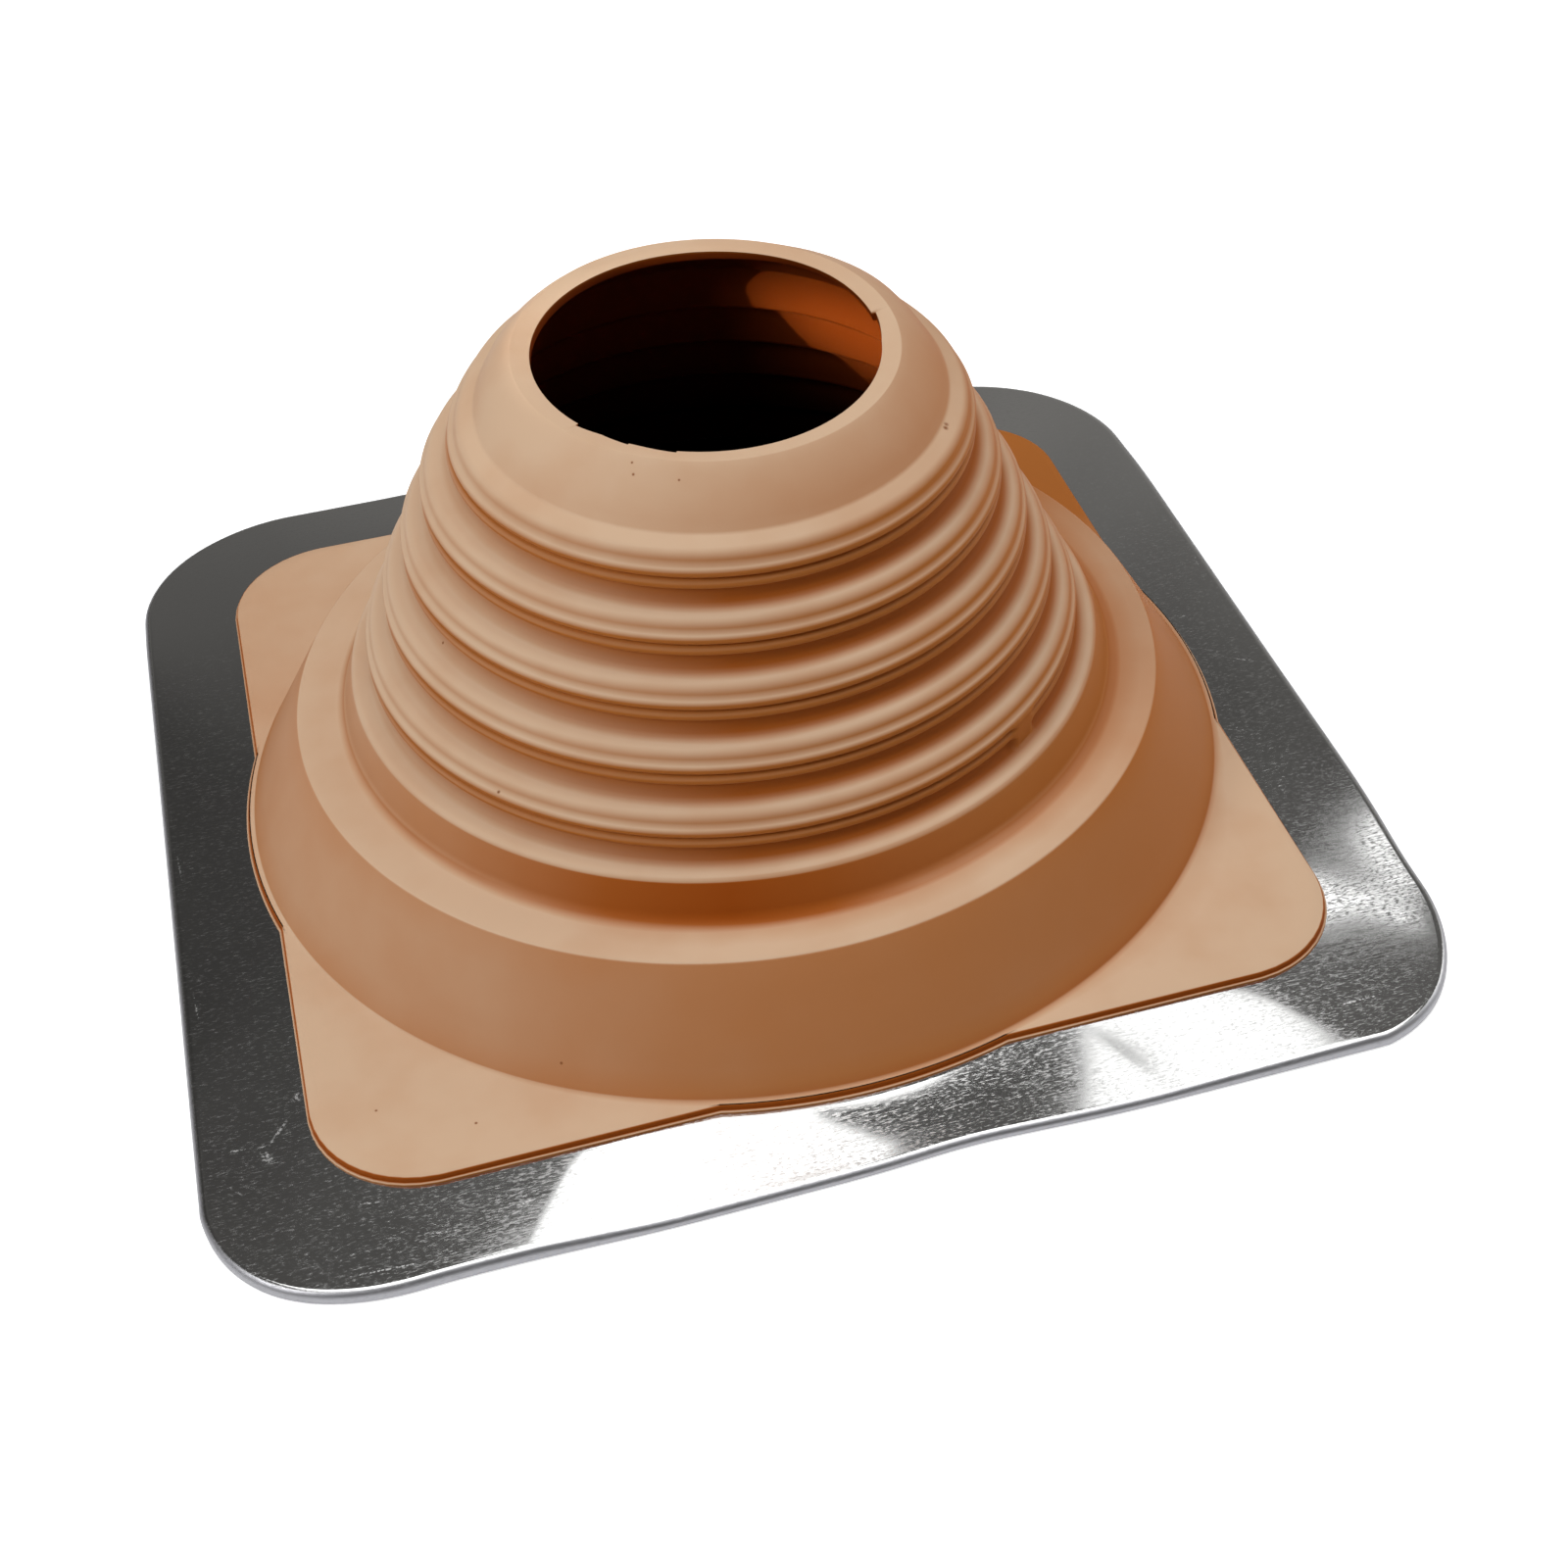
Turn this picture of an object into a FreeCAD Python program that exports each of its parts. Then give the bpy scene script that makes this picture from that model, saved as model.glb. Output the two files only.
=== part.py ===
import FreeCAD, Part
import math
import os

os.makedirs("parts", exist_ok=True)

# A pipe flashing boot: a stepped rubber cone moulded onto a square base of soft aluminium sheet.
# The cone stands on the Z axis and the rim of the base rests on z = 0. All sizes are in mm.

# Aluminium base
sheet_thickness = 1.0
rim_height = 3.0
rim_bend_r = 1.6
base_corner_r = 41.0
base_border = 20.3

# Opening and collar, from the top edge down
opening_r = 38.0
opening_length = 2.4
lip_width = 4.2
lip_dish = 0.8
collar_flare = 10.7
collar_drop = 13.4
collar_ledge_run = 4.2
collar_ledge_fall = 1.7

# Cut guides: each is two beads with a knife groove between them, on the upright wall of a step
guide_count = 5
guide_step_out = 6.1
guide_step_down = 13.0
ridge_in_from_guide = 0.5
ridge_above_guide = 5.7
hollow_out_from_guide = 0.4
hollow_below_guide = 6.0
bead_height = 1.4
bead_spacing = 3.0
bead_foot = 1.4
ridge_bevel = 1.5

# Plain ridge under the last guide, and the waist below it
plain_ridge_out = 6.0
plain_ridge_down = 6.9
waist_flare = 3.8
waist_drop = 9.9

# Shelf and skirt
shelf_width = 11.1
shelf_fall = 0.7
skirt_flare = 15.4
skirt_drop = 25.8
wall = 2.6

# Pad on top of the sheet: a rounded square that the skirt's round foot bulges out of
pad_height = 1.8
pad_margin = 1.4
pad_inset = 2.9
pad_corner_r = 25.4
flash_width = 0.7
flash_thickness = 0.4

# Ring under the sheet that grips the edge of its hole
hole_inside_foot = 1.4
edge_wrap = 2.6
ring_width = 11.0
ring_relief = 0.9
rib_count = 2
rib_width = 3.0

# Smooth tab that interrupts the last guide
tab_width = 6.0
tab_angle = -50.0
tab_proud = 0.1
tab_above_guide = 3.4
tab_sink = 1.0

# Radii, from the opening outward
lip_r = opening_r + lip_width
collar_foot_r = lip_r + collar_flare
top_ridge_r = collar_foot_r + collar_ledge_run
first_guide_r = top_ridge_r + ridge_in_from_guide
last_guide_r = first_guide_r + (guide_count - 1) * guide_step_out
plain_ridge_r = last_guide_r + plain_ridge_out
shelf_inner_r = plain_ridge_r + waist_flare
shelf_outer_r = shelf_inner_r + shelf_width
foot_r = shelf_outer_r + skirt_flare
pad_bulge_r = foot_r + pad_margin
pad_half = foot_r - pad_inset
base_half = pad_bulge_r + base_border
hole_r = foot_r - hole_inside_foot
throat_r = hole_r - edge_wrap
ring_r = hole_r + ring_width

# Heights, from the resting plane up
sheet_under = rim_height - sheet_thickness
pad_top = rim_height + pad_height
shelf_outer_z = pad_top + skirt_drop
shelf_inner_z = shelf_outer_z + shelf_fall
plain_ridge_z = shelf_inner_z + waist_drop
last_guide_z = plain_ridge_z + plain_ridge_down
first_guide_z = last_guide_z + (guide_count - 1) * guide_step_down
top_ridge_z = first_guide_z + ridge_above_guide
collar_foot_z = top_ridge_z + collar_ledge_fall
lip_z = collar_foot_z + collar_drop
opening_z = lip_z - lip_dish

# No bevel takes more than this share of the shorter of its two sides
BEVEL_SHARE = 0.48


def bevelled_face(corners):
    """Makes a face in the XZ plane from (radius, height, bevel) corners, joined in order."""
    points = [FreeCAD.Vector(r, 0, z) for r, z, _ in corners]
    outline = []
    for i, here in enumerate(points):
        back = points[i - 1] - here
        on = points[(i + 1) % len(points)] - here
        reach = min(corners[i][2], BEVEL_SHARE * min(back.Length, on.Length))
        if reach > 0:
            outline.extend([here + back.normalize() * reach, here + on.normalize() * reach])
        else:
            outline.append(here)
    return Part.Face(Part.makePolygon(outline + outline[:1]))


def inset(corners, distance):
    """Moves an outline of (radius, height) corners inward by a distance, with mitred corners."""
    moved = []
    for i in range(1, len(corners) - 1):
        (r0, z0), (r1, z1), (r2, z2) = corners[i - 1:i + 2]
        before = math.atan2(z1 - z0, r1 - r0)
        after = math.atan2(z2 - z1, r2 - r1)
        middle = (before + after) / 2
        mitre = distance / math.cos((after - before) / 2)
        moved.append((r1 + mitre * math.sin(middle), z1 - mitre * math.cos(middle)))
    return moved


def along(start, end, z):
    """Gives the radius at a height on the line through two (radius, height) points."""
    return start[0] + (end[0] - start[0]) * (z - start[1]) / (end[1] - start[1])


def beyond(start, end):
    """Gives the point as far past the end of a line as its start lies before it."""
    return 2 * end[0] - start[0], 2 * end[1] - start[1]


def guide_places():
    """Gives the (radius, height) of each knife groove, from the top guide down."""
    return [(first_guide_r + i * guide_step_out, first_guide_z - i * guide_step_down) for i in range(guide_count)]


def guide_corners(r, z, ridge, hollow):
    """Lists the corners of one pair of beads, between the ridge above and the hollow below."""
    upper = z + bead_spacing / 2
    lower = z - bead_spacing / 2
    return [
        (along(ridge, (r, z), upper + bead_foot), upper + bead_foot, 0),
        (r + bead_height, upper, 0),
        (r, z, 0),
        (r + bead_height, lower, 0),
        (along((r, z), hollow, lower - bead_foot), lower - bead_foot, 0),
    ]


def boot_outside():
    """Lists the outside of the cone from the lip down, with its beads, and the same without them."""
    beaded = [(lip_r, lip_z, 0), (collar_foot_r, collar_foot_z, 0)]
    plain = [(lip_r, lip_z), (collar_foot_r, collar_foot_z)]
    for i, (r, z) in enumerate(guide_places()):
        ridge = (r - ridge_in_from_guide, z + ridge_above_guide)
        hollow = (r + hollow_out_from_guide, z - hollow_below_guide)
        beaded.append((*ridge, ridge_bevel))
        beaded.extend(guide_corners(r, z, ridge, hollow))
        beaded.append((*hollow, 0))
        plain.extend([ridge, hollow])
    for corner, bevel in (
        ((plain_ridge_r, plain_ridge_z), ridge_bevel),
        ((shelf_inner_r, shelf_inner_z), 0),
        ((shelf_outer_r, shelf_outer_z), 0),
        ((foot_r, pad_top), 0),
    ):
        beaded.append((*corner, bevel))
        plain.append(corner)
    return beaded, plain


def ring_underside():
    """Lists the ribbed underside from the outer edge of the ring in to the throat."""
    corners = [(ring_r, sheet_under, 0)]
    pitch = (ring_r - throat_r - rib_width) / (rib_count - 1)
    for i in range(rib_count):
        outer = ring_r - i * pitch
        if i > 0:
            corners.append((outer, ring_relief, 0))
        corners.append((outer, 0, 0))
        corners.append((outer - rib_width, 0, 0))
        if i < rib_count - 1:
            corners.append((outer - rib_width, ring_relief, 0))
    return corners


def boot_section():
    """Makes the section of everything in the boot that is round."""
    beaded, plain = boot_outside()
    inner = inset(plain, wall)
    collar_top = inset([beyond(plain[1], plain[0]), plain[0], plain[1]], wall)[0]
    skirt_foot = inset([plain[-2], plain[-1], beyond(plain[-2], plain[-1])], wall)[0]
    lip_under = opening_z - opening_length
    throat_share = (skirt_foot[0] - throat_r) / (skirt_foot[0] - inner[-1][0])
    throat_z = skirt_foot[1] + (inner[-1][1] - skirt_foot[1]) * throat_share
    corners = [(opening_r, opening_z, 0)] + beaded
    corners += [(foot_r, rim_height, 0), (hole_r, rim_height, 0), (hole_r, sheet_under, 0)]
    corners += ring_underside()
    corners += [(throat_r, throat_z, 0)]
    corners += [(r, z, 0) for r, z in reversed(inner)]
    corners += [(along(collar_top, inner[0], lip_under), lip_under, 0), (opening_r, lip_under, 0)]
    return bevelled_face(corners)


def rounded_square(half, corner_r, bottom, height):
    """Makes a square slab about the Z axis with rounded corners."""
    slab = Part.makeBox(2 * half, 2 * half, height, FreeCAD.Vector(-half, -half, bottom))
    upright = [edge for edge in slab.Edges if abs(edge.tangentAt(edge.FirstParameter).z) > 0.5]
    return slab.makeFillet(corner_r, upright)


def pad_slab(margin, bottom, height):
    """Makes the pad's outline, a rounded square with a round bulge on each side, as a slab."""
    square = rounded_square(pad_half + margin, pad_corner_r + margin, bottom, height)
    bulge = Part.makeCylinder(pad_bulge_r + margin, height, FreeCAD.Vector(0, 0, bottom))
    return square.fuse(bulge).removeSplitter()


def marker_tab():
    """Makes the smooth flat-faced tab that bridges the last pair of beads."""
    bottom = last_guide_z - hollow_below_guide - tab_sink
    top = last_guide_z + tab_above_guide
    inner = last_guide_r - wall / 2
    outer = last_guide_r + bead_height + tab_proud
    tab = Part.makeBox(outer - inner, tab_width, top - bottom, FreeCAD.Vector(inner, -tab_width / 2, bottom))
    tab.rotate(FreeCAD.Vector(0, 0, 0), FreeCAD.Vector(0, 0, 1), tab_angle)
    return tab


def rubber_boot():
    """Makes the whole rubber moulding."""
    cone = boot_section().revolve(FreeCAD.Vector(0, 0, 0), FreeCAD.Vector(0, 0, 1), 360)
    if cone.ShapeType != "Solid":
        cone = Part.Solid(cone)
    pad = pad_slab(0, rim_height, pad_height)
    flash = pad_slab(flash_width, rim_height, flash_thickness)
    core = Part.makeCylinder(hole_r, pad_top, FreeCAD.Vector(0, 0, 0))
    pad = pad.fuse(flash).cut(core)
    return cone.fuse([pad, marker_tab()]).removeSplitter()


def aluminium_base():
    """Makes the sheet with its turned-down rim and its round hole."""
    outside = rounded_square(base_half, base_corner_r, 0, rim_height)
    bend = [edge for edge in outside.Edges if edge.BoundBox.ZMin > rim_height / 2]
    outside = outside.makeFillet(rim_bend_r, bend)
    inside = rounded_square(base_half - sheet_thickness, base_corner_r - sheet_thickness, 0, sheet_under)
    hole = Part.makeCylinder(hole_r, rim_height, FreeCAD.Vector(0, 0, 0))
    return outside.cut(inside).cut(hole)


for name, shape in (("rubber_boot", rubber_boot()), ("aluminium_base", aluminium_base())):
    solid = shape.Solids[0]
    print(name, "solids", len(shape.Solids), "valid", solid.isValid(), "cm3", round(solid.Volume / 1000, 1))
    solid.exportStep("parts/" + name + ".step")
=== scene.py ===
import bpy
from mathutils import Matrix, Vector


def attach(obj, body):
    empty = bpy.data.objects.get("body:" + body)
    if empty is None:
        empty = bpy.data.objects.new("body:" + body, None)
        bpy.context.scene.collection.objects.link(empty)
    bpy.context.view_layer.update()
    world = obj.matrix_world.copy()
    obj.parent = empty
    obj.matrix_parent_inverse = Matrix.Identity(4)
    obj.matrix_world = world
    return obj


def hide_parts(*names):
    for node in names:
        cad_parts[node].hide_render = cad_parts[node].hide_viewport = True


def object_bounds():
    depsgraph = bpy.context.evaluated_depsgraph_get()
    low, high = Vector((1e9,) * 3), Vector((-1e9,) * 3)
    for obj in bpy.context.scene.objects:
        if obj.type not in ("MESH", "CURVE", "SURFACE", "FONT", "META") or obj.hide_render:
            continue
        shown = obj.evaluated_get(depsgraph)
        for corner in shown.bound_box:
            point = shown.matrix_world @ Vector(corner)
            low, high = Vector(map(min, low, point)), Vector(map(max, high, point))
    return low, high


bl_info = {
    "name": "Pipe flashing boot",
    "version": (1, 0, 0),
    "blender": (4, 5, 0),
    "location": "View3D > Sidebar > Flashing",
    "description": "Makes a rubber pipe boot on its aluminium sheet, and a studio to look at it in",
    "category": "Add Mesh",
}

from math import acos, asin, atan2, cos, pi, radians, sin, tan
from types import SimpleNamespace

import bpy
import numpy as np
from bpy.props import FloatProperty, FloatVectorProperty, IntProperty, PointerProperty
from mathutils import Matrix, Vector

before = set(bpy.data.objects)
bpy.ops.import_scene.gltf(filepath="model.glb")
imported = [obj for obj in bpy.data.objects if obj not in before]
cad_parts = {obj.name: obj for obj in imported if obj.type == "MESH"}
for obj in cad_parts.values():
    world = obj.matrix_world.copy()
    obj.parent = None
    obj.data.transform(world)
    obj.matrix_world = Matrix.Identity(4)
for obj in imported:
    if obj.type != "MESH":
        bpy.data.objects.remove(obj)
CAD_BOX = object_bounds()

MM = 0.001
BOOT = "rubber_boot"
BASE = "aluminium_base"


def linear(code, alpha=1.0):
    """Turns an sRGB hex code into a linear colour."""
    parts = [int(code[i:i + 2], 16) / 255 for i in (1, 3, 5)]
    return (*(p / 12.92 if p <= 0.04045 else ((p + 0.055) / 1.055) ** 2.4 for p in parts), alpha)


def length(name, description, millimetres):
    """Describes a length that a user may change."""
    return FloatProperty(name=name, description=description, default=millimetres * MM,
                         unit="LENGTH", subtype="DISTANCE", precision=4)


def angle(name, description, degrees):
    """Describes an angle that a user may change."""
    return FloatProperty(name=name, description=description, default=radians(degrees),
                         unit="ROTATION", subtype="ANGLE")


def power(name, description, watts):
    """Describes a light's power that a user may change."""
    return FloatProperty(name=name, description=description, default=watts, unit="POWER", precision=4)


def colour(name, description, code):
    """Describes a colour that a user may change."""
    return FloatVectorProperty(name=name, description=description, default=linear(code),
                               size=4, min=0, max=1, subtype="COLOR")


class BootSizes(bpy.types.PropertyGroup):
    """Sizes of the rubber cone and its pad."""
    opening_r: length("Opening radius", "Radius of the hole in the lip", 38.0)
    opening_z: length("Opening height", "Height of the lip's inner edge", 117.3)
    lip_r: length("Lip radius", "Radius of the lip's outer edge", 42.2)
    lip_z: length("Lip height", "Height of the lip's outer edge", 118.1)
    lip_drop: length("Lip depth", "How far the opening reaches down", 2.4)
    collar_r: length("Collar radius", "Radius at the collar's foot", 52.9)
    collar_z: length("Collar height", "Height of the collar's foot", 107.5)
    collar_swell: length("Collar swell", "How far the collar bulges out", 0.5)
    first_guide_r: length("First guide radius", "Radius of the top knife line", 57.6)
    first_guide_z: length("First guide height", "Height of the top knife line", 100.1)
    guide_count: IntProperty(name="Guides", description="Number of cut guides", default=5, min=1, max=9)
    guide_out: length("Guide step out", "How much wider each guide is than the last", 6.1)
    guide_down: length("Guide step down", "How much lower each guide is than the last", 13.0)
    bead_r: length("Bead radius", "Radius of the two beads of a guide", 1.5)
    plain_r: length("Plain ridge radius", "Radius of the ridge under the last guide", 88.0)
    plain_z: length("Plain ridge height", "Height of the ridge under the last guide", 41.2)
    shelf_inner_r: length("Shelf inner radius", "Radius where the shelf starts", 91.8)
    shelf_inner_z: length("Shelf inner height", "Height where the shelf starts", 31.3)
    shelf_outer_r: length("Shelf outer radius", "Radius where the shelf ends", 102.9)
    shelf_outer_z: length("Shelf outer height", "Height where the shelf ends", 30.6)
    foot_r: length("Foot radius", "Radius of the skirt at the pad", 118.3)
    pad_top: length("Pad height", "Height of the pad's top", 4.8)
    pad_half: length("Pad half side", "Half the side of the pad's rounded square", 115.4)
    pad_corner_r: length("Pad corner radius", "Radius of the pad's corners", 25.4)
    pad_bulge_r: length("Pad bulge radius", "Radius of the pad's round bulges", 119.7)
    flash: length("Flash width", "Width of the thin lip round the pad", 0.7)
    wall: length("Wall", "Thickness of the rubber", 2.6)
    hole_r: length("Hole radius", "Radius of the sheet's hole, which the rubber wraps", 116.9)
    throat_r: length("Throat radius", "Inner radius of the rubber in that hole", 114.3)
    ring_r: length("Ring radius", "Outer radius of the ring under the sheet", 127.9)
    tab_width: length("Tab width", "Width of the smooth tab on the last guide", 6.0)
    tab_r: length("Tab radius", "Distance of the tab's face from the axis", 83.6)
    tab_angle: angle("Tab angle", "Direction of the tab, from the X axis", -50.5)
    lean_back: angle("Lean back", "How far the top of the cone tips forward", 2.74)
    lean_side: angle("Lean sideways", "How far the top of the cone tips to the side", -2.51)
    lean_from: angle("Lean direction", "Direction that the leans are measured from", -14.94)


class BaseSizes(bpy.types.PropertyGroup):
    """Sizes of the aluminium base sheet."""
    half: length("Half side", "Half the side of the square sheet", 140.0)
    corner_r: length("Corner radius", "Radius of the sheet's corners", 41.0)
    top: length("Top", "Height of the sheet's upper face", 3.0)
    thickness: length("Thickness", "Thickness of the sheet", 1.0)
    bend_r: length("Bend radius", "Outside radius of the turned-down rim", 1.7)


class Finish(bpy.types.PropertyGroup):
    """Colours of the two materials."""
    rubber: colour("Rubber", "Colour of the silicone rubber's walls", "#B16A2F")
    # The hollow colour is painted shade: the deep colour laid where the outline hides the sky, in the hollows,
    # grooves, waist and the pad's edge
    hollow: colour("Hollow", "Deep colour in the hollows, where nothing settles", "#9A480A")
    # The bloom colour is partly painted light: it is laid on faces that look up and to the left, towards the lamps,
    # and kept off the shaded side
    bloom: colour("Bloom", "Pale bloom on faces that look up", "#D1B193")
    speck: colour("Speck", "Dark colour of nicks and specks in the rubber", "#85502E")
    # The two inside colours below are painted shade: the inside is darker than the outside, and darker still further
    # down
    core: colour("Core side", "Deep colour of the inside, where no dust settles", "#8A3A0C")
    depth: colour("Depth", "Dark colour far down inside", "#2A0D02")
    metal: colour("Sheet", "Colour of the bare aluminium", "#D3D3D2")
    # The rim colour is painted shade: a darker grey in place of the shade that the rim would reflect
    rim: colour("Rim", "Colour of the rim that the bending tool dulled", "#A0A0A4")


class Studio(bpy.types.PropertyGroup):
    """Camera and light levels."""
    camera_azimuth: angle("Camera azimuth", "Direction that the camera looks from", -14.9422)
    camera_elevation: angle("Camera elevation", "Height angle that the camera looks from", 41.7577)
    camera_roll: angle("Camera roll", "Turn of the camera about its view", -2.4391)
    camera_distance: length("Camera distance", "Distance from the camera to its target", 401.575)
    target: FloatVectorProperty(name="Target", description="Point that the camera looks at", size=3,
                                default=(-0.95 * MM, -142.87 * MM, 110.16 * MM), subtype="XYZ", unit="LENGTH")
    lens: FloatProperty(name="Lens", description="Focal length for a 36 mm sensor", default=52.9725,
                        unit="CAMERA")
    shift_x: FloatProperty(name="Shift", description="Sideways lens shift", default=-0.0625)
    overhead: power("Overhead light", "Power of the light overhead", 9.2)
    key: power("Key light", "Power of the light at the front left", 6.0)
    side: power("Side light", "Power of the low light at the right", 1.6)
    snoot: power("Snoot", "Power of the narrow light into the opening", 0.0046)
    fill: FloatProperty(name="Fill", description="Level of the light from all round", default=0.09)


def in_millimetres(group):
    """Copies a group's values, with its lengths in millimetres."""
    values = {}
    for name in group.__annotations__:
        is_length = group.bl_rna.properties[name].unit == "LENGTH"
        values[name] = getattr(group, name) / MM if is_length else getattr(group, name)
    return SimpleNamespace(**values)


def rounded(corners):
    """Joins (radius, height, rounding, steps) corners into points, with an arc at each rounded one."""
    points = [np.array(corner[:2], float) for corner in corners]
    spans = [np.linalg.norm(b - a) for a, b in zip(points, points[1:])]
    reach = [0.0] * len(points)
    turns = [0.0] * len(points)
    for i in range(1, len(points) - 1):
        before = (points[i] - points[i - 1]) / spans[i - 1]
        after = (points[i + 1] - points[i]) / spans[i]
        turns[i] = acos(max(-1.0, min(1.0, float(before @ after))))
        reach[i] = corners[i][2] * tan(turns[i] / 2)
    for i, span in enumerate(spans):
        both = reach[i] + reach[i + 1]
        if both > span:
            reach[i], reach[i + 1] = reach[i] * span / both, reach[i + 1] * span / both
    path = []
    for i, here in enumerate(points):
        if reach[i] < 1e-6:
            path.append(here)
            continue
        back = (points[i - 1] - here) / spans[i - 1]
        on = (points[i + 1] - here) / spans[i]
        start, end = here + back * reach[i], here + on * reach[i]
        centre = here + (back + on) * reach[i] / (1 + float(back @ on))
        for step in range(corners[i][3] + 1):
            t = step / corners[i][3]
            swing = sin((1 - t) * turns[i]) * (start - centre) + sin(t * turns[i]) * (end - centre)
            path.append(centre + swing / sin(turns[i]))
    return [tuple(point) for point in path]


def inset(corners, distance):
    """Moves an outline of (radius, height) corners inward by a distance, with mitred corners."""
    moved = []
    for (r0, z0), (r1, z1), (r2, z2) in zip(corners, corners[1:], corners[2:]):
        before = atan2(z1 - z0, r1 - r0)
        after = atan2(z2 - z1, r2 - r1)
        middle = (before + after) / 2
        mitre = distance / cos((after - before) / 2)
        moved.append((r1 + mitre * sin(middle), z1 - mitre * cos(middle)))
    return moved


def rounded_square(half, corner_r, angles):
    """Gives the distance from the centre to the edge of a rounded square, at each angle."""
    x, y = np.abs(np.cos(angles)), np.abs(np.sin(angles))
    straight = half / np.maximum(x, y)
    flat = half - corner_r
    along = flat * (x + y)
    across = flat * (x - y)
    corner = along + np.sqrt(np.maximum(corner_r ** 2 - across ** 2, 0))
    in_corner = np.minimum(x, y) * straight > flat
    return np.where(in_corner, corner, straight)


def ring_points(rows, angles):
    """Turns (radius, height) rows into a grid of points, one ring of points for each row."""
    radii = np.array([np.broadcast_to(r, len(angles)) for r, _ in rows], float)
    heights = np.array([np.broadcast_to(z, len(angles)) for _, z in rows], float)
    return np.stack([radii * np.cos(angles), radii * np.sin(angles), heights], axis=-1)


def add_object(name, data):
    """Adds an object that holds some data to the scene."""
    item = bpy.data.objects.new(name, data)
    bpy.context.scene.collection.objects.link(item)
    return item


def mesh_object(name, places, crease, marks):
    """Makes an object from a closed grid of points in mm, shaded smooth up to a crease in degrees."""
    row_count, column_count = places.shape[:2]
    index = np.arange(row_count * column_count).reshape(row_count, column_count)
    below = np.roll(index, -1, axis=0)
    faces = np.stack([index, below, np.roll(below, -1, axis=1), np.roll(index, -1, axis=1)], axis=-1)
    mesh = bpy.data.meshes.new(name)
    mesh.from_pydata((places.reshape(-1, 3) * MM).tolist(), [], faces.reshape(-1, 4).tolist())
    mesh.validate()
    for mark, values in marks.items():
        layer = mesh.attributes.new(mark, "FLOAT", "POINT")
        spread = np.broadcast_to(np.reshape(values, (row_count, -1)), (row_count, column_count))
        layer.data.foreach_set("value", spread.ravel().astype(np.float32))
    mesh.shade_smooth()
    mesh.set_sharp_from_angle(angle=radians(crease))
    return add_object(name, mesh)


def guide_places(s):
    """Gives the (radius, height) of each knife line, from the top guide down."""
    return [(s.first_guide_r + i * s.guide_out, s.first_guide_z - i * s.guide_down) for i in range(s.guide_count)]


# Places of the ridge above and the hollow below each knife line, from that line in mm
RIDGE_IN, RIDGE_UP = 0.5, 5.7
HOLLOW_OUT, HOLLOW_DOWN = 0.4, 6.0

# Turns from a bead's crest to its top, to the knife groove and to its underside, and how far in it is set, in mm
BEAD_TOP, BEAD_GROOVE, BEAD_UNDER, BEAD_SINK = radians(72), radians(74), radians(84), 0.1

# Numbers of points round a bead and down the collar
BEAD_STEPS, COLLAR_STEPS = 7, 6

# Rounding in mm and number of steps of each kind of corner: outside, under the sheet and inside
SHARP = (0, 0)
LIP_ROUND, COLLAR_ROUND, RIDGE_ROUND, HOLLOW_ROUND = (0.4, 3), (2.0, 4), (3.2, 6), (4.0, 5)
PLAIN_ROUND, SHELF_IN_ROUND, SHELF_OUT_ROUND, FOOT_ROUND = (2.2, 6), (3.5, 6), (1.1, 4), (0.7, 3)
RING_ROUND, RELIEF_ROUND, RIB_ROUND = (0.3, 2), (0.4, 2), (0.5, 3)
THROAT_ROUND, STEP_ROUND, COLLAR_TOP_ROUND, LIP_UNDER_ROUND = (1.0, 2), (1.2, 3), (0.6, 2), (0.5, 2)


def bead(r, z, s, top, bottom):
    """Lists the points of one half-round bead, from one turn above its crest to another below it."""
    points = []
    for step in range(BEAD_STEPS + 1):
        turn = top - (top + bottom) * step / BEAD_STEPS
        points.append((r - BEAD_SINK + s.bead_r * cos(turn), z + s.bead_r * sin(turn), *SHARP))
    return points


def boot_outside(s):
    """Lists the corners of the outside, and the same without beads for the inside to follow."""
    corners = [(s.opening_r, s.opening_z, *LIP_ROUND), (s.lip_r, s.lip_z, *LIP_ROUND)]
    slope = atan2(s.collar_r - s.lip_r, s.lip_z - s.collar_z)
    for i in range(1, COLLAR_STEPS):
        t = i / COLLAR_STEPS
        swell = s.collar_swell * 4 * t * (1 - t)
        corners.append((s.lip_r + (s.collar_r - s.lip_r) * t + swell * cos(slope),
                        s.lip_z + (s.collar_z - s.lip_z) * t + swell * sin(slope), *SHARP))
    corners.append((s.collar_r, s.collar_z, *COLLAR_ROUND))
    plain = [(s.lip_r, s.lip_z), (s.collar_r, s.collar_z)]
    for r, z in guide_places(s):
        ridge = (r - RIDGE_IN, z + RIDGE_UP)
        hollow = (r + HOLLOW_OUT, z - HOLLOW_DOWN)
        corners.append((*ridge, *RIDGE_ROUND))
        corners += bead(r, z + s.bead_r, s, BEAD_TOP, BEAD_GROOVE)
        corners += bead(r, z - s.bead_r, s, BEAD_GROOVE, BEAD_UNDER)
        corners.append((*hollow, *HOLLOW_ROUND))
        plain += [ridge, hollow]
    lower = [(s.plain_r, s.plain_z, *PLAIN_ROUND), (s.shelf_inner_r, s.shelf_inner_z, *SHELF_IN_ROUND),
             (s.shelf_outer_r, s.shelf_outer_z, *SHELF_OUT_ROUND), (s.foot_r, s.pad_top, *FOOT_ROUND)]
    for here, below in zip(lower, lower[1:]):
        corners.append(here)
        corners += [(*(np.array(here[:2]) * (1 - t) + np.array(below[:2]) * t), *SHARP) for t in (0.25, 0.75)]
    corners.append(lower[-1])
    plain += [corner[:2] for corner in lower]
    return corners, plain


# Turn over which each side of the tab runs out into the beads
TAB_EASE = radians(1.3)

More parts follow.
